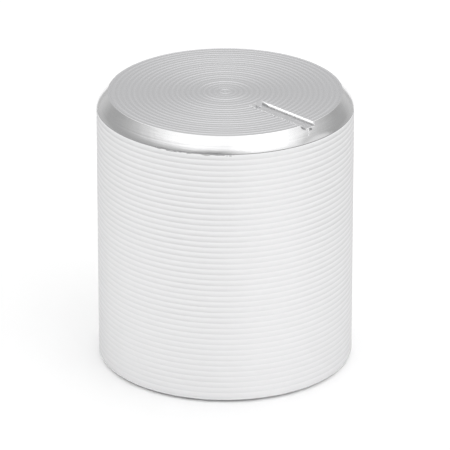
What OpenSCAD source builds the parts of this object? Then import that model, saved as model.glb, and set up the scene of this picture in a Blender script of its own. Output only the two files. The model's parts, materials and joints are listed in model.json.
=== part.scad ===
// Potentiometer knob turned from aluminium bar: a finely ribbed grip, a bright bevel and a ring-turned
// top with a milled pointer slot. A set screw in the wall clamps it on the shaft. Sizes in millimetres.
// The origin is the centre of the base rim. +Z runs up the shaft axis, and the pointer faces -Y.

/* [Grip] */
// Outside diameter, over the ribs
knob_d = 15; // [12:0.1:25]
// Height from the base rim to the top face
knob_h = 16.5; // [14:0.1:25]
// Distance from one rib to the next
rib_pitch = 0.34; // [0.25:0.01:1]
// Depth of the round hollows between the ribs
rib_depth = 0.02; // [0.01:0.005:0.1]
// Radius that breaks the base edge
base_round = 0.3; // [0.1:0.05:0.6]

/* [Top] */
// Width of the bevel, measured along the radius
bevel_w = 0.65; // [0.3:0.05:1.2]
// Height of the bevel
bevel_h = 0.85; // [0.3:0.05:1.5]
// Distance from one turned ring to the next
ring_pitch = 0.31; // [0.2:0.01:1]
// Depth of the turned rings
ring_depth = 0.015; // [0.005:0.005:0.04]

/* [Pointer slot] */
// Width of the slot at the top face
pointer_w = 1; // [0.6:0.05:1.6]
// Depth of the slot below the top face
pointer_depth = 0.2; // [0.1:0.05:0.4]
// Lean of the slot's walls from upright
pointer_draft = 20; // [5:1:30]
// Lean of the slot's inner end from upright
pointer_ramp = 35; // [5:1:50]
// Distance from the shaft axis to the slot's inner end
pointer_start = 2.55; // [1:0.05:5]

/* [Shaft bore] */
// Diameter of the shaft that the knob goes on
shaft_d = 6; // [4:0.05:6.35]
// Play between the shaft and the bore, across the diameter
shaft_play = 0.06; // [0.02:0.01:0.2]
// Thickness of the roof over the full-width part of the bore
bore_roof = 3.5; // [2.8:0.1:6]
// Included angle of the drill points that end the bore and the screw's socket
drill_angle = 118; // [100:1:140]
// Bevel at the mouth of the bore
bore_lead_in = 0.3; // [0.1:0.05:0.6]

/* [Nut recess] */
// Thickness of the rim round the recess for the panel nut
rim_wall = 1.3; // [0.8:0.1:2]
// Depth of the recess
recess_depth = 2.5; // [1:0.1:3.5]

/* [Set screw] */
// Thread diameter
screw_d = 3; // [2:0.5:4]
// Height of the screw's axis above the base rim
screw_z = 6.5; // [5.5:0.1:9]
// Depth of the screw's socket end below the grip
screw_sunk = 0.35; // [0.1:0.05:1]
// Gap between the screw's tip and the shaft's bore
screw_tip_gap = 0.1; // [0.05:0.05:0.4]
// Gap between the screw's thread and its hole, along the radius
thread_gap = 0.02; // [0.01:0.01:0.05]
// Diameter of the cup that bites the shaft
cup_d = 1.4; // [0.8:0.1:1.6]
// Depth of the cup
cup_depth = 0.3; // [0.1:0.05:0.5]
// Width of the hexagon socket across its flats
socket_af = 1.5; // [0.9:0.1:1.6]
// Depth of the hexagon socket
socket_depth = 1.6; // [1:0.1:2]
// Width of the bevel at the mouth of the screw hole
hole_bevel = 0.2; // [0.1:0.05:0.4]
// Width of the bevel round the screw's socket end
screw_bevel = 0.2; // [0.1:0.05:0.4]

/* [Hidden] */

$fn = 128;
rib_facets = 4;    // straight stretches in the arc from one rib to the next
ring_facets = 3;   // straight stretches in the arc of one ring
round_facets = 6;  // straight stretches in the base edge's quarter round
spare = 1;         // how far a cutting tool runs past the surface that it cuts

knob_r = knob_d / 2;
top_r = knob_r - bevel_w;
shoulder_z = knob_h - bevel_h;

rib_count = max(1, round((shoulder_z - base_round) / rib_pitch));
rib_step = (shoulder_z - base_round) / rib_count;
ring_count = max(1, round(top_r / ring_pitch));
ring_step = top_r / ring_count;

bore_r = (shaft_d + shaft_play) / 2;
bore_top = knob_h - bore_roof;
drill_tip = bore_r / tan(drill_angle / 2);
recess_r = knob_r - rim_wall;

pointer_half = pointer_w / 2;
pointer_top = pointer_depth + spare;
wall_in = pointer_depth * tan(pointer_draft);
wall_out = spare * tan(pointer_draft);
ramp_in = pointer_depth * tan(pointer_ramp);
ramp_out = spare * tan(pointer_ramp);

hole_r = screw_d / 2;
thread_r = hole_r - thread_gap;
cup_r = cup_d / 2;
screw_tip = bore_r + screw_tip_gap;
screw_end = knob_r - screw_sunk;
socket_r = socket_af / 2 / cos(30);
socket_cone = socket_af / 2 / tan(drill_angle / 2);

// Swell of an arc from 0 at both ends of a stretch to 1 at its middle
function arch(share) = 1 - pow(2 * share - 1, 2);

// Quarter round of the base edge, from the rim outwards to the foot of the ribs
base_points = [
    for (i = [0 : round_facets - 1])
        let (turn = 90 * i / round_facets)
        [knob_r - base_round * (1 - sin(turn)), base_round * (1 - cos(turn))]
];

// Round hollows that a turning tool leaves between sharp ribs, from the base up to the bevel
rib_points = [
    for (rib = [0 : rib_count - 1], i = [0 : rib_facets - 1])
        let (share = i / rib_facets)
        [knob_r - rib_depth * arch(share), base_round + (rib + share) * rib_step]
];

// Shallow hollows that the facing tool leaves, from the bevel inwards to the axis
ring_points = [
    for (ring = [0 : ring_count - 1], i = [0 : ring_facets - 1])
        let (share = i / ring_facets)
        [top_r - (ring + share) * ring_step, knob_h - ring_depth * arch(share)]
];

// Blind bore with its drill point, and the recess for the panel nut, from the axis outwards
inner_points = [
    [0, bore_top + drill_tip],
    [bore_r, bore_top],
    [bore_r, recess_depth + bore_lead_in],
    [bore_r + bore_lead_in, recess_depth],
    [recess_r, recess_depth],
    [recess_r, 0]
];

// Half section of the blank, from the drill point round the outside to the centre of the top
blank_points = concat(
    inner_points,
    base_points,
    rib_points,
    [[knob_r, shoulder_z]],
    ring_points,
    [[0, knob_h]]
);

module turned_blank() {
    rotate_extrude()
        polygon(blank_points);
}

// Flat-floored slot with leaning sides and a leaning inner end, open at the bevel
module pointer_cut() {
    translate([0, 0, knob_h - pointer_depth])
        intersection() {
            rotate([90, 0, 0])
                linear_extrude(height = knob_r + spare)
                    polygon([
                        [-pointer_half + wall_in, 0],
                        [pointer_half - wall_in, 0],
                        [pointer_half + wall_out, pointer_top],
                        [-pointer_half - wall_out, pointer_top]
                    ]);
            rotate([90, 0, -90])
                linear_extrude(height = knob_d, center = true)
                    polygon([
                        [pointer_start + ramp_in, 0],
                        [knob_r + spare, 0],
                        [knob_r + spare, pointer_top],
                        [pointer_start - ramp_out, pointer_top]
                    ]);
        }
}

// Lays a shape that points up on the set screw's axis, so that its height runs out from the shaft axis
module on_screw_axis() {
    translate([0, 0, screw_z])
        rotate([-90, 0, 0])
            children();
}

module screw_hole() {
    on_screw_axis() {
        cylinder(r = hole_r, h = knob_r + spare);
        translate([0, 0, knob_r - hole_bevel])
            cylinder(r1 = hole_r, r2 = hole_r + hole_bevel + spare, h = hole_bevel + spare);
    }
}

module knob_body() {
    color("whitesmoke")
        difference() {
            turned_blank();
            pointer_cut();
            screw_hole();
        }
}

// Hexagon socket with the conical end that its pilot drill leaves
module socket_cut() {
    translate([0, 0, screw_end - socket_depth]) {
        cylinder(r = socket_r, h = socket_depth + spare, $fn = 6);
        translate([0, 0, -socket_cone])
            cylinder(r1 = 0, r2 = socket_af / 2, h = socket_cone);
    }
}

module set_screw() {
    point_bevel = thread_r - cup_r;
    color("dimgray")
        on_screw_axis()
            difference() {
                rotate_extrude()
                    polygon([
                        [0, screw_tip + cup_depth],
                        [cup_r, screw_tip],
                        [thread_r, screw_tip + point_bevel],
                        [thread_r, screw_end - screw_bevel],
                        [thread_r - screw_bevel, screw_end],
                        [0, screw_end]
                    ]);
                socket_cut();
            }
}

knob_body();
set_screw();
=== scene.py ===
import json
import math

import bpy
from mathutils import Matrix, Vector


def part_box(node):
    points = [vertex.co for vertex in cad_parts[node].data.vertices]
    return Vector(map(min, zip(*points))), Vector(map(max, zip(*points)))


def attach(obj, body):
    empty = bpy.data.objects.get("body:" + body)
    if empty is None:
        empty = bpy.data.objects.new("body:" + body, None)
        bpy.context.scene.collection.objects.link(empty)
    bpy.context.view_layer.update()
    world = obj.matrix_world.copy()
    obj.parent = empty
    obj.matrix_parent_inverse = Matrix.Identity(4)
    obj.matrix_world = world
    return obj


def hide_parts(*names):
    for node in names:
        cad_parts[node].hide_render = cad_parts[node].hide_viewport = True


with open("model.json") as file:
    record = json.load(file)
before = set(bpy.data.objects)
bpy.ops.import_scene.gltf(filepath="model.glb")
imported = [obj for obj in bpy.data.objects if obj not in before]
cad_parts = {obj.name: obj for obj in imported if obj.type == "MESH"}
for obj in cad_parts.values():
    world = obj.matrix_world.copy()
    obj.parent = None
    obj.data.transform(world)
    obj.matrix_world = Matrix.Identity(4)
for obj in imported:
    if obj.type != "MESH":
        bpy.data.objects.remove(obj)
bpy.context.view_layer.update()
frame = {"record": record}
scene = bpy.context.scene
mm = 0.001

# Main sizes come from the frame, so the dressed knob keeps the solids' form
bodyLow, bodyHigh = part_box("knob_body")
screwLow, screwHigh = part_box("set_screw")
mounts = {mount["name"]: mount for mount in frame["record"]["mounts"]}
knobRadius = bodyHigh.x
knobHeight = bodyHigh.z
boreRadius = mounts["shaft_bore"]["dims"]["r_mm"] * mm
boreLength = mounts["shaft_bore"]["dims"]["length_mm"] * mm
boreMiddle = mounts["shaft_bore"]["pos_m"][2]
recessRadius = mounts["nut_recess"]["dims"]["r_mm"] * mm
recessDepth = mounts["nut_recess"]["dims"]["length_mm"] * mm
screwHeight = (screwLow.z + screwHigh.z) / 2
print("frame: knob", round(knobRadius * 2 / mm, 2), "x", round(knobHeight / mm, 2), "mm")


# Node helpers, shared by the shape trees and the materials

def plug(tree, value, socket):
    if isinstance(value, bpy.types.NodeSocket):
        tree.links.new(value, socket)
    else:
        socket.default_value = value


def addNode(tree, kind, inputs=None, **settings):
    node = tree.nodes.new(kind)
    for key, value in settings.items():
        setattr(node, key, value)
    for key, value in (inputs or {}).items():
        plug(tree, value, node.inputs[key])
    return node


def calc(tree, operation, first, second=0.0, third=0.0):
    return addNode(tree, "ShaderNodeMath", {0: first, 1: second, 2: third}, operation=operation).outputs[0]


def vector(tree, x=0.0, y=0.0, z=0.0):
    return addNode(tree, "ShaderNodeCombineXYZ", {0: x, 1: y, 2: z}).outputs[0]


def mapped(tree, value, low, high, toLow=0.0, toHigh=1.0, kind="LINEAR"):
    limits = {"From Min": low, "From Max": high, "To Min": toLow, "To Max": toHigh}
    return addNode(tree, "ShaderNodeMapRange", {"Value": value, **limits}, interpolation_type=kind).outputs[0]


# Shape trees: a half section is laid out as rows of points, then turned round the Z axis

weldDistance = 0.0001 * mm  # points closer than this become one


def newTree(name, sizes):
    tree = bpy.data.node_groups.new(name, "GeometryNodeTree")
    for label, value in sizes.items():
        kind = "NodeSocketFloat"
        if isinstance(value, int):
            kind = "NodeSocketInt"
        if isinstance(value, bpy.types.Material):
            kind = "NodeSocketMaterial"
        tree.interface.new_socket(label, in_out="INPUT", socket_type=kind)
    tree.interface.new_socket("Geometry", in_out="OUTPUT", socket_type="NodeSocketGeometry")
    return tree, tree.nodes.new("NodeGroupInput").outputs


def pointRow(tree, start, end, count, finish):
    line = addNode(tree, "GeometryNodeMeshLine", {"Count": count, "Start Location": start, "Offset": end},
                   mode="END_POINTS", count_mode="TOTAL")
    return marked(tree, line.outputs[0], "finish", finish, "INT")


def marked(tree, geometry, name, value, kind, domain="POINT"):
    inputs = {"Geometry": geometry, "Name": name, "Value": value}
    return addNode(tree, "GeometryNodeStoreNamedAttribute", inputs, data_type=kind, domain=domain).outputs[0]


def cornerRows(tree, corners, finish):
    rows = []
    for (x0, z0), (x1, z1) in zip(corners, corners[1:]):
        rows.append(pointRow(tree, vector(tree, x0, 0.0, z0), vector(tree, x1, 0.0, z1), 2, finish))
    return rows


def indexOf(tree):
    return tree.nodes.new("GeometryNodeInputIndex").outputs[0]


def nudged(tree, geometry, offset):
    return addNode(tree, "GeometryNodeSetPosition", {"Geometry": geometry, "Offset": offset}).outputs[0]


def joined(tree, parts):
    node = tree.nodes.new("GeometryNodeJoinGeometry")
    for part in reversed(parts):  # the last link made comes first
        tree.links.new(part, node.inputs[0])
    return node.outputs[0]


# Swell of an arc, 0 at both ends of each repeat and 1 in the middle, with a little play from one to the next
def arches(tree, steps, seed, play):
    turn = calc(tree, "DIVIDE", indexOf(tree), steps)
    share = calc(tree, "FRACT", turn)
    slope = calc(tree, "MULTIPLY_ADD", share, 2.0, -1.0)
    swell = calc(tree, "SUBTRACT", 1.0, calc(tree, "MULTIPLY", slope, slope))
    height = chance(tree, 1.0 - play, 1.0 + play, seed, calc(tree, "FLOOR", turn))
    return calc(tree, "MULTIPLY", swell, height)


# Sockets 2 and 3 of this node are its limits for plain numbers, and output 1 is the plain number
def chance(tree, low, high, seed, number):
    return addNode(tree, "FunctionNodeRandomValue", {2: low, 3: high, "ID": number, "Seed": seed},
                   data_type="FLOAT").outputs[1]


def sampled(tree, profile, value, index, kind):
    return addNode(tree, "GeometryNodeSampleIndex", {"Geometry": profile, "Value": value, "Index": index},
                   data_type=kind, domain="POINT", clamp=True).outputs[0]


def attribute(tree, name, kind):
    return addNode(tree, "GeometryNodeInputNamedAttribute", {"Name": name}, data_type=kind).outputs[0]


# Turns a half section round the Z axis. With a pitch, a thread is cut as deep as the section's own mark says
def turned(tree, profile, columns, threadPitch=None):
    rows = addNode(tree, "GeometryNodeAttributeDomainSize", {"Geometry": profile}).outputs[0]
    ring = calc(tree, "ADD", columns, 1.0)
    grid = addNode(tree, "GeometryNodeMeshGrid", {"Vertices X": rows, "Vertices Y": ring}).outputs[0]
    index = indexOf(tree)
    row = calc(tree, "FLOOR", calc(tree, "DIVIDE", index, ring))
    column = calc(tree, "SUBTRACT", index, calc(tree, "MULTIPLY", row, ring))
    share = calc(tree, "DIVIDE", column, columns)
    place = tree.nodes.new("GeometryNodeInputPosition").outputs[0]
    point = tree.nodes.new("ShaderNodeSeparateXYZ")
    tree.links.new(sampled(tree, profile, place, row, "FLOAT_VECTOR"), point.inputs[0])
    radius = point.outputs[0]
    if threadPitch is not None:
        depth = sampled(tree, profile, attribute(tree, "thread", "FLOAT"), row, "FLOAT")
        turn = calc(tree, "SUBTRACT", calc(tree, "DIVIDE", point.outputs[2], threadPitch), share)
        flank = calc(tree, "MULTIPLY", calc(tree, "PINGPONG", turn, 0.5), 2.0)
        radius = calc(tree, "SUBTRACT", radius, calc(tree, "MULTIPLY", depth, flank))
    angle = calc(tree, "MULTIPLY", share, math.tau)
    x = calc(tree, "MULTIPLY", radius, calc(tree, "COSINE", angle))
    y = calc(tree, "MULTIPLY", radius, calc(tree, "SINE", angle))
    shape = addNode(tree, "GeometryNodeSetPosition",
                    {"Geometry": grid, "Position": vector(tree, x, y, point.outputs[2])}).outputs[0]
    faceRow = calc(tree, "FLOOR", calc(tree, "DIVIDE", index, columns))
    finish = sampled(tree, profile, attribute(tree, "finish", "INT"), faceRow, "INT")
    shape = marked(tree, shape, "finish", finish, "INT", "FACE")
    return addNode(tree, "GeometryNodeMergeByDistance",
                   {"Geometry": shape, "Distance": weldDistance}).outputs[0]


def placed(tree, geometry, place, quarterTurn):
    return addNode(tree, "GeometryNodeTransform",
                   {"Geometry": geometry, "Translation": place, "Rotation": (quarterTurn, 0, 0)}).outputs[0]


def cut(tree, geometry, cutters):
    node = addNode(tree, "GeometryNodeMeshBoolean", {"Mesh 1": geometry},
                   operation="DIFFERENCE", solver="EXACT")
    for cutter in cutters:
        tree.links.new(cutter, node.inputs["Mesh 2"])
    return node.outputs[0]


# Sockets 2 and 3 of the compare node are its two whole numbers
def endTree(tree, geometry, materials):
    shape = addNode(tree, "GeometryNodeRealizeInstances", {"Geometry": geometry}).outputs[0]
    finish = attribute(tree, "finish", "INT")
    for number, material in enumerate(materials):
        same = addNode(tree, "FunctionNodeCompare", {2: finish, 3: number},
                       data_type="INT", operation="EQUAL").outputs[0]
        shape = addNode(tree, "GeometryNodeSetMaterial",
                        {"Geometry": shape, "Selection": same, "Material": material}).outputs[0]
    tree.links.new(shape, tree.nodes.new("NodeGroupOutput").inputs[0])


def makePiece(name, tree, sizes, sharpAngle):
    piece = bpy.data.objects.new(name, bpy.data.meshes.new(name))
    scene.collection.objects.link(piece)
    modifier = piece.modifiers.new("shape", "NODES")
    modifier.node_group = tree
    for item in tree.interface.items_tree:
        if item.in_out == "INPUT":
            modifier[item.identifier] = sizes[item.name]
    graph = bpy.context.evaluated_depsgraph_get()
    mesh = bpy.data.meshes.new_from_object(piece.evaluated_get(graph), depsgraph=graph)
    piece.modifiers.remove(modifier)
    piece.data = mesh
    mesh.name = name
    if mesh.materials[0] is None:  # the empty slot that the tree starts from
        mesh.materials.pop(index=0)
    mesh.shade_smooth()
    mesh.set_sharp_from_angle(angle=math.radians(sharpAngle))
    print(name, len(mesh.polygons), "faces,", [slot.name for slot in mesh.materials])
    return piece


# Materials, all of them bare metal

cloudDetail = 4.0
noiseSpread = (0.3, 0.7)  # nearly all of a noise lies between these


def newMetal(name, look):
    material = bpy.data.materials.new(name)
    material.use_nodes = True
    tree = material.node_tree
    shader = tree.nodes["Principled BSDF"]
    shader.inputs["Base Color"].default_value = (*look["color"], 1)
    shader.inputs["Metallic"].default_value = 1.0
    shader.inputs["Roughness"].default_value = look["roughness"]
    shader.inputs["Anisotropic"].default_value = look.get("anisotropic", 0.0)
    shader.inputs["Anisotropic Rotation"].default_value = 0.25  # a quarter turn
    return material, tree, shader


def objectPoint(tree):
    return tree.nodes.new("ShaderNodeTexCoord").outputs["Object"]


def noise(tree, place, scale, detail=2.0):
    return addNode(tree, "ShaderNodeTexNoise", {"Vector": place, "Scale": scale, "Detail": detail}).outputs[0]


# Fine lines along the given length that drift slowly round the knob's axis
def turningLines(tree, across, fine, drift):
    x, y = addNode(tree, "ShaderNodeSeparateXYZ", {0: objectPoint(tree)}).outputs[:2]
    place = vector(tree, calc(tree, "MULTIPLY", x, drift), calc(tree, "MULTIPLY", y, drift),
                   calc(tree, "MULTIPLY", across, fine))
    return noise(tree, place, 1.0)


def axisDistance(tree):
    flat = addNode(tree, "ShaderNodeVectorMath", {0: objectPoint(tree), 1: (1, 1, 0)}, operation="MULTIPLY")
    return addNode(tree, "ShaderNodeVectorMath", {0: flat.outputs[0]}, operation="LENGTH").outputs["Value"]


def heightOf(tree):
    return addNode(tree, "ShaderNodeSeparateXYZ", {0: objectPoint(tree)}).outputs[2]


# Surface relief from pairs of a pattern and its depth in metres
def relief(tree, shader, layers):
    height = 0.0
    for pattern, depth in layers:
        height = calc(tree, "MULTIPLY_ADD", pattern, depth, height)
    node = addNode(tree, "ShaderNodeBump", {"Height": height, "Strength": 1.0, "Distance": 1.0})
    tree.links.new(node.outputs[0], shader.inputs["Normal"])


def scaled(tree, color, factor):
    return addNode(tree, "ShaderNodeVectorMath", {0: color, "Scale": factor}, operation="SCALE").outputs[0]


# Base colour that a pattern makes up to the given share lighter or darker
def mottle(tree, shader, color, pattern, share):
    factor = calc(tree, "MULTIPLY_ADD", pattern, 2 * share, 1.0 - share)
    tree.links.new(scaled(tree, color, factor), shader.inputs["Base Color"])


def roughen(tree, shader, pattern, low, high):
    tree.links.new(mapped(tree, pattern, *noiseSpread, low, high), shader.inputs["Roughness"])


# Colour that a pattern from 0 to 1 makes up to the given share darker
def shaded(tree, color, pattern, share):
    return scaled(tree, color, calc(tree, "MULTIPLY_ADD", pattern, -share, 1.0))


# Metal with fine grain and cloudy patches of colour and gloss
def cloudedMetal(name, look):
    material, tree, shader = newMetal(name, look)
    place = objectPoint(tree)
    clouds = noise(tree, place, look["clouds"], cloudDetail)
    relief(tree, shader, [(noise(tree, place, look["grain"]), look["grainDepth"])])
    mottle(tree, shader, look["color"], clouds, look["mottleShare"])
    roughen(tree, shader, clouds, *look["rough"])
    return material


# Each hollow between two ribs gets a little darker towards its foot: painted shade that stands in for the
# ribs' own shading
def blastedAluminium(ribTop, ribStep):
    look = {"color": (0.90, 0.90, 0.905), "edgeTint": 0.8, "roughness": 0.5, "grain": 9000.0,
            "grainDepth": 0.003 * mm, "clouds": 900.0, "mottleShare": 0.03, "rough": (0.46, 0.54),
            "hollowShade": 0.105}
    material, tree, shader = newMetal("blastedAluminium", look)
    shader.inputs["Specular Tint"].default_value = (*[look["edgeTint"]] * 3, 1)
    place = objectPoint(tree)
    clouds = noise(tree, place, look["clouds"], cloudDetail)
    relief(tree, shader, [(noise(tree, place, look["grain"]), look["grainDepth"])])
    down = calc(tree, "DIVIDE", calc(tree, "SUBTRACT", ribTop, heightOf(tree)), ribStep)
    # painted shade: each rib hollow is darkened towards its foot
    color = shaded(tree, look["color"], calc(tree, "FRACT", down), look["hollowShade"])
    mottle(tree, shader, color, clouds, look["mottleShare"])
    roughen(tree, shader, clouds, *look["rough"])
    return material


# Each turned ring gets a little darker towards the middle of its hollow: painted shade that stands in for the
# rings' own shading
def spunAluminium(ringStep):
    look = {"color": (0.87, 0.87, 0.885), "roughness": 0.23, "anisotropic": 0.52, "lines": 14000.0,
            "drift": 150.0, "lineDepth": 0.0006 * mm, "mottleShare": 0.03, "hollowShade": 0.06}
    material, tree, shader = newMetal("spunAluminium", look)
    tangent = addNode(tree, "ShaderNodeTangent", direction_type="RADIAL", axis="Z")
    tree.links.new(tangent.outputs[0], shader.inputs["Tangent"])
    away = axisDistance(tree)
    lines = turningLines(tree, away, look["lines"], look["drift"])
    relief(tree, shader, [(lines, look["lineDepth"])])
    halfStep = ringStep / 2
    hollow = calc(tree, "DIVIDE", calc(tree, "PINGPONG", away, halfStep), halfStep)
    # painted shade: each ring hollow is darkened towards its middle
    color = shaded(tree, look["color"], hollow, look["hollowShade"])
    mottle(tree, shader, color, lines, look["mottleShare"])
    return material


def brightCut():
    look = {"color": (0.90, 0.90, 0.905), "roughness": 0.12, "lines": 12000.0, "drift": 900.0,
            "lineDepth": 0.003 * mm, "chatter": 1100.0, "chatterDepth": 0.01 * mm, "mottleShare": 0.02}
    material, tree, shader = newMetal("brightCut", look)
    lines = turningLines(tree, heightOf(tree), look["lines"], look["drift"])
    chatter = noise(tree, objectPoint(tree), look["chatter"])
    relief(tree, shader, [(lines, look["lineDepth"]), (chatter, look["chatterDepth"])])
    mottle(tree, shader, look["color"], lines, look["mottleShare"])
    return material


# Bright wall above, with painted shade: a darker stretch along its foot where it meets the floor
def slotWall():
    # foot is the level of the painted shade along the wall's foot
    look = {"color": (0.90, 0.90, 0.905), "roughness": 0.12, "foot": 0.56, "footTop": knobHeight - 0.09 * mm,
            "footBlur": 0.02 * mm, "footWave": 0.04 * mm, "wave": 4000.0,
            "marks": 9000.0, "markDepth": 0.0005 * mm}
    material, tree, shader = newMetal("slotWall", look)
    place = objectPoint(tree)
    level = calc(tree, "MULTIPLY_ADD", noise(tree, place, look["wave"]), look["footWave"], heightOf(tree))
    edge = look["footTop"] + look["footWave"] / 2
    # painted shade darkens the wall below footTop
    bright = mapped(tree, level, edge - look["footBlur"], edge + look["footBlur"], look["foot"])
    tree.links.new(scaled(tree, look["color"], bright), shader.inputs["Base Color"])
    relief(tree, shader, [(noise(tree, place, look["marks"]), look["markDepth"])])
    return material


def slotFloor():
    look = {"color": (0.77, 0.77, 0.78), "roughness": 0.36, "feed": (9000.0, 900.0, 0.0),
            "feedDepth": 0.0006 * mm, "mottleShare": 0.04}
    material, tree, shader = newMetal("slotFloor", look)
    stretched = addNode(tree, "ShaderNodeVectorMath", {0: objectPoint(tree), 1: look["feed"]},
                        operation="MULTIPLY")
    feed = noise(tree, stretched.outputs[0], 1.0)
    relief(tree, shader, [(feed, look["feedDepth"])])
    mottle(tree, shader, look["color"], feed, look["mottleShare"])
    return material


# Dark metal that paints shade into creases, gaps and shadowed corners
def paintedShadeAluminium():
    look = {"color": (0.34, 0.34, 0.345), "roughness": 0.42, "clouds": 3000.0, "mottleShare": 0.2,
            "grain": 12000.0, "grainDepth": 0.002 * mm, "rough": (0.36, 0.48)}
    return cloudedMetal("paintedShadeAluminium", look)


def turnedBore():
    look = {"color": (0.82, 0.82, 0.83), "roughness": 0.34, "lines": 9000.0, "drift": 120.0,
            "lineDepth": 0.002 * mm, "mottleShare": 0.05, "rough": (0.28, 0.4)}
    material, tree, shader = newMetal("turnedBore", look)
    across = calc(tree, "ADD", heightOf(tree), axisDistance(tree))
    lines = turningLines(tree, across, look["lines"], look["drift"])
    relief(tree, shader, [(lines, look["lineDepth"])])
    mottle(tree, shader, look["color"], lines, look["mottleShare"])
    roughen(tree, shader, lines, *look["rough"])
    return material


def blackSteel():
    look = {"color": (0.10, 0.10, 0.105), "roughness": 0.38, "clouds": 2500.0, "mottleShare": 0.35,
            "grain": 16000.0, "grainDepth": 0.001 * mm, "rough": (0.3, 0.46)}
    return cloudedMetal("blackSteel", look)


# Turned body

drillAngle = 118.0  # included angle of the drill's point
screwThread = {"Thread Pitch": 0.5 * mm, "Thread Depth": 0.25 * mm}

turnedBody = {
    "Radius": knobRadius,
    "Height": knobHeight,
    "Columns": 192,
    "Rib Pitch": 0.34 * mm,
    "Rib Depth": 0.02 * mm,
    "Rib Facets": 6,
    "Ring Pitch": 0.31 * mm,
    "Ring Depth": 0.015 * mm,
    "Ring Facets": 4,
    "Bevel Width": 0.65 * mm,
    "Bevel Height": 0.85 * mm,
    "Bevel Crown": 0.05,
    "Bevel Line": 0.003,
    "Edge Break": 0.024 * mm,
    "Edge Line": 0.05 * mm,
    "Base Round": 0.3 * mm,
    "Base Lift": 0.1 * mm,
    "Base Relief": 0.85 * mm,
    "Bore Radius": boreRadius,
    "Bore Top": boreMiddle + boreLength / 2,
    "Bore Foot": boreMiddle - boreLength / 2,
    "Drill Tip": boreRadius / math.tan(math.radians(drillAngle / 2)),
    "Recess Radius": recessRadius,
    "Recess Depth": recessDepth,
    "Pointer Width": 1.0 * mm,
    "Pointer Depth": 0.2 * mm,
    "Pointer Lean": math.tan(math.radians(20)),
    "Pointer End Lean": math.tan(math.radians(35)),
    "Pointer Start": 2.55 * mm,
    "Screw Radius": 1.5 * mm,
    "Screw Height": screwHeight,
    "Screw Bevel": 0.2 * mm,
    **screwThread,
    "Seed": 7,
}

# Tops and steps of the ribs and rings, as the section below lays them out, for the finishes that follow them
gripTop = knobHeight - turnedBody["Bevel Height"] - turnedBody["Edge Line"]
gripRun = gripTop - turnedBody["Base Round"]
gripStep = gripRun / round(gripRun / turnedBody["Rib Pitch"])
faceRun = knobRadius - turnedBody["Bevel Width"]
faceStep = (faceRun - turnedBody["Edge Break"]) / round(faceRun / turnedBody["Ring Pitch"])

finishes = {
    "Spun": spunAluminium(faceStep),
    "Bright": brightCut(),
    "Blasted": blastedAluminium(gripTop, gripStep),
    "Bore": turnedBore(),
    "Slot Wall": slotWall(),
    "Slot Floor": slotFloor(),
    # the dark finish below is painted shade for creases, gaps and the contact with the floor
    "Painted Shade": paintedShadeAluminium(),
}
finishNumber = {name: number for number, name in enumerate(finishes)}
turnedBody.update(finishes)
print("materials:", ", ".join(finishes))

facets = {"bevel": 24, "base": 6, "thread": 10, "hole": 72, "hexagon": 6}
toolPlay = 0.2  # share by which the depth of one rib or ring may differ
crownPower = 5.0  # a higher power moves the bevel's crown towards its foot
bevelLine = {"share": 0.625, "reach": 0.01}  # place of the fine line down the bevel


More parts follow.
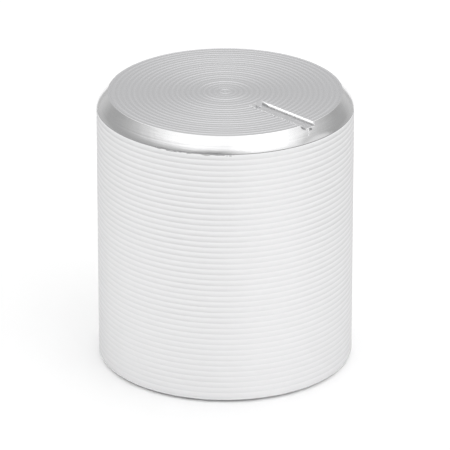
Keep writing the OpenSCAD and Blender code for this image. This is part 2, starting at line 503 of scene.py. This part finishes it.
def bodyProfile(tree, size):
    zero = 0.0
    outside = size["Radius"]
    topRadius = calc(tree, "SUBTRACT", outside, size["Bevel Width"])
    shoulder = calc(tree, "SUBTRACT", size["Height"], size["Bevel Height"])
    ribTop = calc(tree, "SUBTRACT", shoulder, size["Edge Line"])
    ribbed = calc(tree, "SUBTRACT", ribTop, size["Base Round"])

    rings = calc(tree, "ROUND", calc(tree, "DIVIDE", topRadius, size["Ring Pitch"]))
    ringCount = calc(tree, "MULTIPLY_ADD", rings, size["Ring Facets"], 1.0)
    faced = calc(tree, "SUBTRACT", topRadius, size["Edge Break"])
    top = pointRow(tree, vector(tree, zero, zero, size["Height"]), vector(tree, faced, zero, size["Height"]),
                   ringCount, finishNumber["Spun"])
    swell = arches(tree, size["Ring Facets"], size["Seed"], toolPlay)
    hollow = calc(tree, "MULTIPLY", swell, size["Ring Depth"])
    top = nudged(tree, top, vector(tree, zero, zero, calc(tree, "MULTIPLY", hollow, -1.0)))

    broken = calc(tree, "MULTIPLY", size["Edge Break"], 0.5)  # half as deep as it is wide
    bevelTop = vector(tree, topRadius, zero, calc(tree, "SUBTRACT", size["Height"], broken))
    edge = pointRow(tree, vector(tree, faced, zero, size["Height"]), bevelTop, 2, finishNumber["Bright"])
    bevel = pointRow(tree, bevelTop, vector(tree, outside, zero, shoulder),
                     facets["bevel"] + 1, finishNumber["Bright"])
    share = calc(tree, "DIVIDE", indexOf(tree), facets["bevel"])
    crown = calc(tree, "SUBTRACT", share, calc(tree, "POWER", share, crownPower))
    swell = calc(tree, "MULTIPLY", crown, size["Bevel Crown"])
    onLine = calc(tree, "COMPARE", share, bevelLine["share"], bevelLine["reach"])
    swell = calc(tree, "SUBTRACT", swell, calc(tree, "MULTIPLY", onLine, size["Bevel Line"]))
    bevel = nudged(tree, bevel, vector(tree, calc(tree, "MULTIPLY", swell, size["Bevel Height"]), zero,
                                       calc(tree, "MULTIPLY", swell, size["Bevel Width"])))

    ribs = calc(tree, "ROUND", calc(tree, "DIVIDE", ribbed, size["Rib Pitch"]))
    ribCount = calc(tree, "MULTIPLY_ADD", ribs, size["Rib Facets"], 1.0)
    # The line below the bevel takes the dark finish: painted shade in the crease under the bevel's foot
    line = pointRow(tree, vector(tree, outside, zero, shoulder), vector(tree, outside, zero, ribTop),
                    2, finishNumber["Painted Shade"])
    foot = vector(tree, outside, zero, size["Base Round"])
    side = pointRow(tree, vector(tree, outside, zero, ribTop), foot, ribCount, finishNumber["Blasted"])
    swell = arches(tree, size["Rib Facets"], size["Seed"], toolPlay)
    hollow = calc(tree, "MULTIPLY", swell, size["Rib Depth"])
    side = nudged(tree, side, vector(tree, calc(tree, "MULTIPLY", hollow, -1.0)))

    turn = calc(tree, "MULTIPLY", indexOf(tree), math.pi / 2 / facets["base"])
    inward = calc(tree, "SUBTRACT", 1.0, calc(tree, "COSINE", turn))
    inward = calc(tree, "MULTIPLY", inward, size["Base Round"])
    tall = calc(tree, "SUBTRACT", size["Base Round"], size["Base Lift"])
    drop = calc(tree, "MULTIPLY", calc(tree, "SINE", turn), tall)
    base = pointRow(tree, foot, foot, facets["base"] + 1, finishNumber["Blasted"])
    base = nudged(tree, base, vector(tree, calc(tree, "MULTIPLY", inward, -1.0), zero,
                                     calc(tree, "MULTIPLY", drop, -1.0)))

    rim = calc(tree, "SUBTRACT", outside, size["Base Round"])
    leadIn = calc(tree, "SUBTRACT", size["Bore Foot"], size["Recess Depth"])
    mouth = calc(tree, "ADD", size["Bore Radius"], leadIn)
    tip = calc(tree, "ADD", size["Bore Top"], size["Drill Tip"])
    corners = [
        (rim, size["Base Lift"]),
        (calc(tree, "SUBTRACT", rim, size["Base Relief"]), zero),
        (size["Recess Radius"], zero),
        (size["Recess Radius"], size["Recess Depth"]),
        (mouth, size["Recess Depth"]),
        (size["Bore Radius"], size["Bore Foot"]),
        (size["Bore Radius"], size["Bore Top"]),
        (zero, tip),
    ]
    # The relieved wedge under the rim takes the dark finish: painted shadow in the gap where the knob meets
    # the floor
    inside = [*cornerRows(tree, corners[:2], finishNumber["Painted Shade"]),
              *cornerRows(tree, corners[1:], finishNumber["Bore"])]
    return joined(tree, [top, edge, bevel, line, side, base, *inside])


# A block with leaning sides and a leaning inner end that runs out past the rim
def pointerCutter(tree, size):
    above = 0.3 * mm
    spare = 1.0 * mm
    nearFace = 0.4  # the block's faces are half a unit from its middle
    block = addNode(tree, "GeometryNodeMeshCube", {"Size": (1, 1, 1)}).outputs[0]
    place = tree.nodes.new("GeometryNodeInputPosition").outputs[0]
    x, y, z = addNode(tree, "ShaderNodeSeparateXYZ", {0: place}).outputs
    onFloor = calc(tree, "LESS_THAN", z, -nearFace)
    milled = calc(tree, "MAXIMUM", onFloor, calc(tree, "GREATER_THAN", y, nearFace))
    finish = calc(tree, "MULTIPLY_ADD", milled, finishNumber["Slot Floor"] - finishNumber["Slot Wall"],
                  finishNumber["Slot Wall"])
    block = marked(tree, block, "finish", finish, "INT", "FACE")
    tall = calc(tree, "ADD", size["Pointer Depth"], above)
    rise = calc(tree, "MULTIPLY", calc(tree, "ADD", z, 0.5), tall)
    rise = calc(tree, "SUBTRACT", rise, size["Pointer Depth"])
    lean = calc(tree, "MULTIPLY", rise, size["Pointer Lean"])
    wide = calc(tree, "MULTIPLY_ADD", lean, 2.0, size["Pointer Width"])
    ramp = calc(tree, "MULTIPLY", rise, size["Pointer End Lean"])
    inner = calc(tree, "SUBTRACT", size["Pointer Start"], ramp)
    outer = calc(tree, "ADD", size["Radius"], spare)
    reach = calc(tree, "MULTIPLY_ADD", calc(tree, "ADD", y, 0.5), calc(tree, "SUBTRACT", inner, outer), outer)
    corner = vector(tree, calc(tree, "MULTIPLY", x, wide), calc(tree, "MULTIPLY", reach, -1.0),
                    calc(tree, "ADD", size["Height"], rise))
    return addNode(tree, "GeometryNodeSetPosition", {"Geometry": block, "Position": corner}).outputs[0]


crumbDraws = 5  # two for a crumb's place and three for its size
crumbSubdivisions = 2


def drawsOf(tree, seed, row):
    return [calc(tree, "ADD", seed, float(row["draw"] + i)) for i in range(crumbDraws)]


# A crumb of metal on each point, of a chance size between the row's spans along X, Y and Z
def crumbs(tree, points, draws, row, turn=(0, 0, 0)):
    number = indexOf(tree)
    spans = [chance(tree, low, high, draw, number) for (low, high), draw in zip(row["spans"], draws[2:])]
    crumb = addNode(tree, "GeometryNodeMeshIcoSphere",
                    {"Radius": 1.0, "Subdivisions": crumbSubdivisions}).outputs[0]
    crumb = marked(tree, crumb, "finish", finishNumber[row["finish"]], "INT", "FACE")
    return addNode(tree, "GeometryNodeInstanceOnPoints",
                   {"Points": points, "Instance": crumb, "Rotation": turn,
                    "Scale": vector(tree, *spans)}).outputs[0]


# Crumbs that the cutter left along an edge, each a little astray
def burrs(tree, start, end, seed, row):
    edge = addNode(tree, "GeometryNodeMeshLine",
                   {"Count": row["count"], "Start Location": start, "Offset": end},
                   mode="END_POINTS", count_mode="TOTAL").outputs[0]
    number = indexOf(tree)
    draws = drawsOf(tree, seed, row)
    aside = [chance(tree, -row["stray"], row["stray"], draw, number) for draw in draws[:2]]
    return crumbs(tree, nudged(tree, edge, vector(tree, *aside)), draws, row)


nearBurrs = {"finish": "Bright", "count": 30, "draw": 10, "stray": 0.03 * mm,
             "spans": [(0.02 * mm, 0.05 * mm), (0.03 * mm, 0.09 * mm), (0.015 * mm, 0.045 * mm)]}
farBurrs = {"finish": "Bright", "count": 34, "draw": 60, "stray": 0.015 * mm,
            "spans": [(0.015 * mm, 0.04 * mm), (0.02 * mm, 0.05 * mm), (0.01 * mm, 0.03 * mm)]}

# Rows at the slot's inner end, from place to place: across from the slot's middle, outwards, and down
endRows = [
    # dark crumbs: painted shade as a darker smear at the inner end's foot
    {"finish": "Painted Shade", "count": 6, "draw": 80, "stray": 0.012 * mm,
     "from": (-0.03 * mm, 0.08 * mm, 0.11 * mm), "to": (0.07 * mm, 0.34 * mm, 0.2 * mm),
     "spans": [(0.014 * mm, 0.028 * mm), (0.03 * mm, 0.05 * mm), (0.008 * mm, 0.014 * mm)]},
    {"finish": "Bright", "count": 4, "draw": 90, "stray": 0.03 * mm,
     "from": (-0.15 * mm, 0.0, 0.0), "to": (0.28 * mm, 0.0, 0.0),
     "spans": [(0.015 * mm, 0.04 * mm), (0.015 * mm, 0.04 * mm), (0.01 * mm, 0.03 * mm)]},
]

# Torn metal round the slot's mouth, and dark crumbs of painted shade in the gaps under it: each row runs
# between two places on the bevel, given as the distance across from the slot's middle and the distance
# outwards from the lip of its floor
mouthRows = [
    {"finish": "Bright", "count": 14, "draw": 20, "stray": 0.02 * mm, "from": (-0.427 * mm, 0.0),
     "to": (0.427 * mm, 0.0),
     "spans": [(0.03 * mm, 0.07 * mm), (0.03 * mm, 0.06 * mm), (0.012 * mm, 0.03 * mm)]},
    {"finish": "Bright", "count": 5, "draw": 30, "stray": 0.012 * mm, "from": (0.5 * mm, -0.15 * mm),
     "to": (0.46 * mm, -0.06 * mm),
     "spans": [(0.02 * mm, 0.05 * mm), (0.02 * mm, 0.05 * mm), (0.02 * mm, 0.05 * mm)]},
    {"finish": "Bright", "count": 6, "draw": 40, "stray": 0.015 * mm, "from": (-0.064 * mm, 0.058 * mm),
     "to": (-0.247 * mm, 0.224 * mm),
     "spans": [(0.03 * mm, 0.06 * mm), (0.03 * mm, 0.06 * mm), (0.03 * mm, 0.06 * mm)]},
    # The two dark rows that follow are crumbs of painted shade in the gaps under the torn metal
    {"finish": "Painted Shade", "count": 7, "draw": 50, "stray": 0.01 * mm, "from": (-0.475 * mm, -0.086 * mm),
     "to": (-0.306 * mm, 0.019 * mm),
     "spans": [(0.03 * mm, 0.05 * mm), (0.03 * mm, 0.05 * mm), (0.03 * mm, 0.05 * mm)]},
    {"finish": "Painted Shade", "count": 4, "draw": 70, "stray": 0.015 * mm, "from": (-0.02 * mm, 0.06 * mm),
     "to": (0.09 * mm, 0.07 * mm),
     "spans": [(0.055 * mm, 0.08 * mm), (0.055 * mm, 0.08 * mm), (0.055 * mm, 0.08 * mm)]},
]


def slotBurrs(tree, size):
    seed = size["Seed"]
    top = size["Height"]
    far = calc(tree, "MULTIPLY", size["Pointer Width"], 0.5)
    near = calc(tree, "MULTIPLY", far, -1.0)
    inner = calc(tree, "MULTIPLY", size["Pointer Start"], -1.0)
    edge = calc(tree, "SUBTRACT", size["Bevel Width"], size["Radius"])
    floor = calc(tree, "SUBTRACT", top, size["Pointer Depth"])
    slope = calc(tree, "DIVIDE", size["Bevel Width"], size["Bevel Height"])
    lip = calc(tree, "SUBTRACT", edge, calc(tree, "MULTIPLY", size["Pointer Depth"], slope))

    def atEnd(across, outwards, down):
        return vector(tree, across, calc(tree, "SUBTRACT", inner, outwards),
                      calc(tree, "SUBTRACT", top, down))

    def onBevel(across, outwards):
        return vector(tree, across, calc(tree, "SUBTRACT", lip, outwards),
                      calc(tree, "SUBTRACT", floor, calc(tree, "DIVIDE", outwards, slope)))

    rows = [burrs(tree, vector(tree, side, inner, top), vector(tree, side, edge, top), seed, row)
            for side, row in ((near, nearBurrs), (far, farBurrs))]
    rows += [burrs(tree, atEnd(*row["from"]), atEnd(*row["to"]), seed, row) for row in endRows]
    return rows + [burrs(tree, onBevel(*row["from"]), onBevel(*row["to"]), seed, row) for row in mouthRows]


# Dark strokes of painted shade along the foot of the bevel, on the stretch between two angles
shoulderShadeStrokes = {"finish": "Painted Shade", "count": 40, "draw": 100, "from": -165.0, "to": -129.0,
                   "rise": (-0.11 * mm, 0.04 * mm), "sunk": 0.01 * mm,
                   "spans": [(0.05 * mm, 0.22 * mm), (0.012 * mm, 0.02 * mm), (0.01 * mm, 0.024 * mm)]}


def edgeShadeStrokes(tree, size):
    row = shoulderShadeStrokes
    number = indexOf(tree)
    draws = drawsOf(tree, size["Seed"], row)
    share = calc(tree, "ADD", number, chance(tree, 0.0, 1.0, draws[0], number))
    share = calc(tree, "DIVIDE", share, row["count"])
    start, end = math.radians(row["from"]), math.radians(row["to"])
    angle = calc(tree, "MULTIPLY_ADD", share, end - start, start)
    rise = chance(tree, *row["rise"], draws[1], number)
    slope = calc(tree, "DIVIDE", size["Bevel Width"], size["Bevel Height"])
    inward = calc(tree, "MULTIPLY", calc(tree, "ABSOLUTE", rise), slope)
    radius = calc(tree, "SUBTRACT", size["Radius"], calc(tree, "MINIMUM", inward, row["sunk"]))
    shoulder = calc(tree, "SUBTRACT", size["Height"], size["Bevel Height"])
    place = vector(tree, calc(tree, "MULTIPLY", radius, calc(tree, "COSINE", angle)),
                   calc(tree, "MULTIPLY", radius, calc(tree, "SINE", angle)),
                   calc(tree, "ADD", shoulder, rise))
    points = addNode(tree, "GeometryNodeMeshLine", {"Count": row["count"]}).outputs[0]
    points = addNode(tree, "GeometryNodeSetPosition", {"Geometry": points, "Position": place}).outputs[0]
    along = vector(tree, 0.0, 0.0, calc(tree, "ADD", angle, math.pi / 2))
    return crumbs(tree, points, draws, row, along)


# Points down a threaded wall, with a few to each turn, and the mark of the thread's depth
def threadedWall(tree, size, radius, top, foot, finish):
    turns = calc(tree, "DIVIDE", calc(tree, "SUBTRACT", top, foot), size["Thread Pitch"])
    rows = calc(tree, "CEIL", calc(tree, "MULTIPLY", turns, facets["thread"]))
    wall = pointRow(tree, vector(tree, radius, 0.0, top), vector(tree, radius, 0.0, foot), rows, finish)
    return marked(tree, wall, "thread", size["Thread Depth"], "FLOAT")


def holeCutter(tree, size):
    spare = 1.0 * mm
    radius = size["Screw Radius"]
    end = calc(tree, "ADD", size["Radius"], spare)
    wide = calc(tree, "ADD", calc(tree, "ADD", radius, size["Screw Bevel"]), spare)
    mouth = calc(tree, "SUBTRACT", size["Radius"], size["Screw Bevel"])
    start = calc(tree, "SUBTRACT", size["Bore Radius"], spare)
    bore = finishNumber["Bore"]
    lid = cornerRows(tree, [(0.0, end), (wide, end), (radius, mouth)], bore)
    wall = threadedWall(tree, size, radius, mouth, start, bore)
    floor = cornerRows(tree, [(radius, start), (0.0, start)], bore)
    shape = turned(tree, joined(tree, [*lid, wall, *floor]), facets["hole"], size["Thread Pitch"])
    return placed(tree, shape, vector(tree, 0.0, 0.0, size["Screw Height"]), -math.pi / 2)


def turnedBodyTree():
    tree, sockets = newTree("turnedBody", turnedBody)
    size = {socket.name: socket for socket in sockets}
    blank = turned(tree, bodyProfile(tree, size), size["Columns"])
    shape = cut(tree, blank, [pointerCutter(tree, size), holeCutter(tree, size)])
    # the edge strokes are painted shade along the bevel's foot
    shape = joined(tree, [shape, *slotBurrs(tree, size), edgeShadeStrokes(tree, size)])
    endTree(tree, shape, [size[key] for key in finishes])
    return tree


body = makePiece("turned_body", turnedBodyTree(), turnedBody, sharpAngle=15)
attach(body, "root")
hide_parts("knob_body")


# Grub screw

socketWidth = 1.5 * mm  # across the hexagon's flats

grubScrew = {
    "Radius": (screwHigh.x - screwLow.x) / 2,
    "Tip": screwLow.y,
    "End": screwHigh.y,
    "Height": screwHeight,
    "Cup Radius": 0.7 * mm,
    "Cup Depth": 0.3 * mm,
    "End Bevel": 0.2 * mm,
    **screwThread,
    "Socket Radius": socketWidth / 2 / math.cos(math.pi / facets["hexagon"]),
    "Socket Depth": 1.6 * mm,
    "Socket Point": 0.45 * mm,
    "Columns": 72,
    "Steel": blackSteel(),
}


def grubScrewTree():
    tree, sockets = newTree("grubScrew", grubScrew)
    size = {socket.name: socket for socket in sockets}
    radius = size["Radius"]
    face = calc(tree, "SUBTRACT", radius, size["End Bevel"])
    shoulder = calc(tree, "SUBTRACT", size["End"], size["End Bevel"])
    pointTop = calc(tree, "ADD", size["Tip"], calc(tree, "SUBTRACT", radius, size["Cup Radius"]))
    cup = calc(tree, "ADD", size["Tip"], size["Cup Depth"])
    steel = 0  # the only finish
    top = cornerRows(tree, [(0.0, size["End"]), (face, size["End"]), (radius, shoulder)], steel)
    wall = threadedWall(tree, size, radius, shoulder, pointTop, steel)
    point = cornerRows(tree, [(radius, pointTop), (size["Cup Radius"], size["Tip"]), (0.0, cup)], steel)
    shape = turned(tree, joined(tree, [*top, wall, *point]), size["Columns"], size["Thread Pitch"])
    above = calc(tree, "ADD", size["End"], size["Socket Radius"])
    floor = calc(tree, "SUBTRACT", size["End"], size["Socket Depth"])
    tip = calc(tree, "SUBTRACT", floor, size["Socket Point"])
    corners = [(0.0, above), (size["Socket Radius"], above), (size["Socket Radius"], floor), (0.0, tip)]
    socket = turned(tree, joined(tree, cornerRows(tree, corners, steel)), facets["hexagon"])
    shape = placed(tree, cut(tree, shape, [socket]), vector(tree, 0.0, 0.0, size["Height"]), -math.pi / 2)
    endTree(tree, shape, [size["Steel"]])
    return tree


screw = makePiece("grub_screw", grubScrewTree(), grubScrew, sharpAngle=25)
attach(screw, "root")
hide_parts("set_screw")


# Stage

stage = {"floorWidth": 0.8, "floorGap": 0.01 * mm, "floorColor": 0.9, "cameraGain": 0.39, "glossyGain": 0.34,
         "paperEdge": 0.07, "paperFade": 0.14, "paperFar": 0.45}


# Pale paper. Only its near part lights the knob in full, and the camera sees it all in one tone
def makeFloor():
    half = stage["floorWidth"] / 2
    low = -stage["floorGap"]
    mesh = bpy.data.meshes.new("floor")
    corners = [(-half, -half, low), (half, -half, low), (half, half, low), (-half, half, low)]
    mesh.from_pydata(corners, [], [(0, 1, 2, 3)])
    floor = bpy.data.objects.new("floor", mesh)
    scene.collection.objects.link(floor)
    material = bpy.data.materials.new("paleFloor")
    material.use_nodes = True
    tree = material.node_tree
    tree.nodes.clear()
    away = addNode(tree, "ShaderNodeVectorMath", {0: objectPoint(tree)}, operation="LENGTH").outputs["Value"]
    fade = mapped(tree, away, stage["paperEdge"], stage["paperFade"],
                  stage["floorColor"], stage["paperFar"], "SMOOTHSTEP")
    path = tree.nodes.new("ShaderNodeLightPath")
    seen = calc(tree, "MULTIPLY", path.outputs["Is Camera Ray"], stage["floorColor"])
    fade = calc(tree, "MAXIMUM", fade, seen)
    level = calc(tree, "MULTIPLY_ADD", path.outputs["Is Camera Ray"], stage["cameraGain"], 1.0)
    level = calc(tree, "MULTIPLY_ADD", path.outputs["Is Glossy Ray"], stage["glossyGain"], level)
    diffuse = addNode(tree, "ShaderNodeBsdfDiffuse", {"Color": calc(tree, "MULTIPLY", level, fade)})
    output = tree.nodes.new("ShaderNodeOutputMaterial")
    tree.links.new(diffuse.outputs[0], output.inputs["Surface"])
    mesh.materials.append(material)


makeFloor()


# Camera and light, both set out from the photograph's viewing direction

view = {"azimuth": -43.0, "elevation": 23.5, "distance": 0.28515, "lens": 388.1, "sensor": 36.0,
        "target": (-0.013 * mm, 0.012 * mm, 8.015 * mm), "clip": (0.01, 10.0)}


def seenFrom(azimuth, elevation):
    turn = math.radians(azimuth)
    rise = math.radians(elevation)
    return Vector((math.sin(turn) * math.cos(rise), -math.cos(turn) * math.cos(rise), math.sin(rise)))


def makeCamera():
    data = bpy.data.cameras.new("camera")
    data.lens = view["lens"]
    data.sensor_width = view["sensor"]
    data.clip_start, data.clip_end = view["clip"]
    camera = bpy.data.objects.new("camera", data)
    direction = seenFrom(view["azimuth"], view["elevation"])
    camera.location = Vector(view["target"]) + direction * view["distance"]
    camera.rotation_euler = (-direction).to_track_quat("-Z", "Y").to_euler()
    scene.collection.objects.link(camera)
    scene.camera = camera


# The dome's stops give its level by the sine of the elevation, over an axis that leans to the picture's
# right. A patch's turn is counted from the camera, positive to the picture's right, all in degrees
studio = {
    "dome": [(0.0, 0.49), (0.10, 0.46), (0.20, 0.39), (0.36, 0.40), (0.47, 0.475), (0.54, 0.56), (0.60, 0.67),
             (0.65, 0.80), (0.70, 0.97), (0.77, 1.16), (0.86, 1.16), (0.93, 0.90), (1.0, 0.86)],
    "scale": 1.5,
    "tilt": 0.025,
    "patches": {
        "glow": {"turn": 180.0, "elevation": 14.0, "outer": 50.0, "inner": 5.0, "gain": 0.16},
        "shade": {"turn": 0.0, "elevation": 34.0, "outer": 26.0, "inner": 4.0, "gain": -0.3},
        "fill": {"turn": 90.0, "elevation": 15.0, "outer": 18.0, "inner": 8.0, "gain": 0.33},
        "window": {"turn": 38.0, "elevation": 20.0, "outer": 44.0, "inner": 18.0, "gain": 0.45},
        "spark": {"turn": -89.0, "elevation": 5.5, "outer": 10.0, "inner": 4.0, "gain": 1.0},
    },
    "strip": {"turn": -4.0, "elevation": 0.0, "outer": 98.0, "inner": 60.0, "gain": 0.68},
    "stripTop": (0.12, 0.18),
}


def alongAxis(tree, direction, axis):
    return addNode(tree, "ShaderNodeVectorMath", {0: direction, 1: axis},
                   operation="DOT_PRODUCT").outputs["Value"]


# Share from 0 to 1 of a soft round patch of the dome, between two angles from its middle
def patch(tree, direction, spot):
    middle = seenFrom(view["azimuth"] + spot["turn"], spot["elevation"])
    near = alongAxis(tree, direction, middle)
    low, high = math.cos(math.radians(spot["outer"])), math.cos(math.radians(spot["inner"]))
    return mapped(tree, near, low, high, kind="SMOOTHSTEP")


def makeWorld():
    world = bpy.data.worlds.new("studio")
    scene.world = world
    world.use_nodes = True
    tree = world.node_tree
    direction = tree.nodes.new("ShaderNodeTexCoord").outputs["Generated"]
    height = addNode(tree, "ShaderNodeSeparateXYZ", {0: direction}).outputs[2]
    axis = Vector((0, 0, 1)) + seenFrom(view["azimuth"] + 90.0, 0.0) * studio["tilt"]
    ramp = addNode(tree, "ShaderNodeValToRGB", {0: alongAxis(tree, direction, axis)})
    stops = ramp.color_ramp.elements
    while len(stops) < len(studio["dome"]):
        stops.new(1.0)
    for stop, (place, level) in zip(stops, studio["dome"]):
        stop.position = place
        stop.color = (*[level / studio["scale"]] * 3, 1)
    level = calc(tree, "MULTIPLY", ramp.outputs[0], studio["scale"])
    for spot in studio["patches"].values():
        level = calc(tree, "MULTIPLY_ADD", patch(tree, direction, spot), spot["gain"], level)
    low, high = studio["stripTop"]
    strip = mapped(tree, height, high, low, kind="SMOOTHSTEP")
    strip = calc(tree, "MULTIPLY", strip, patch(tree, direction, studio["strip"]))
    level = calc(tree, "MULTIPLY_ADD", strip, studio["strip"]["gain"], level)
    path = tree.nodes.new("ShaderNodeLightPath")
    level = calc(tree, "MAXIMUM", level, path.outputs["Is Camera Ray"])
    tree.links.new(level, tree.nodes["Background"].inputs["Color"])


makeCamera()
makeWorld()
scene.view_settings.view_transform = "Standard"
print("stage, camera and light are set")
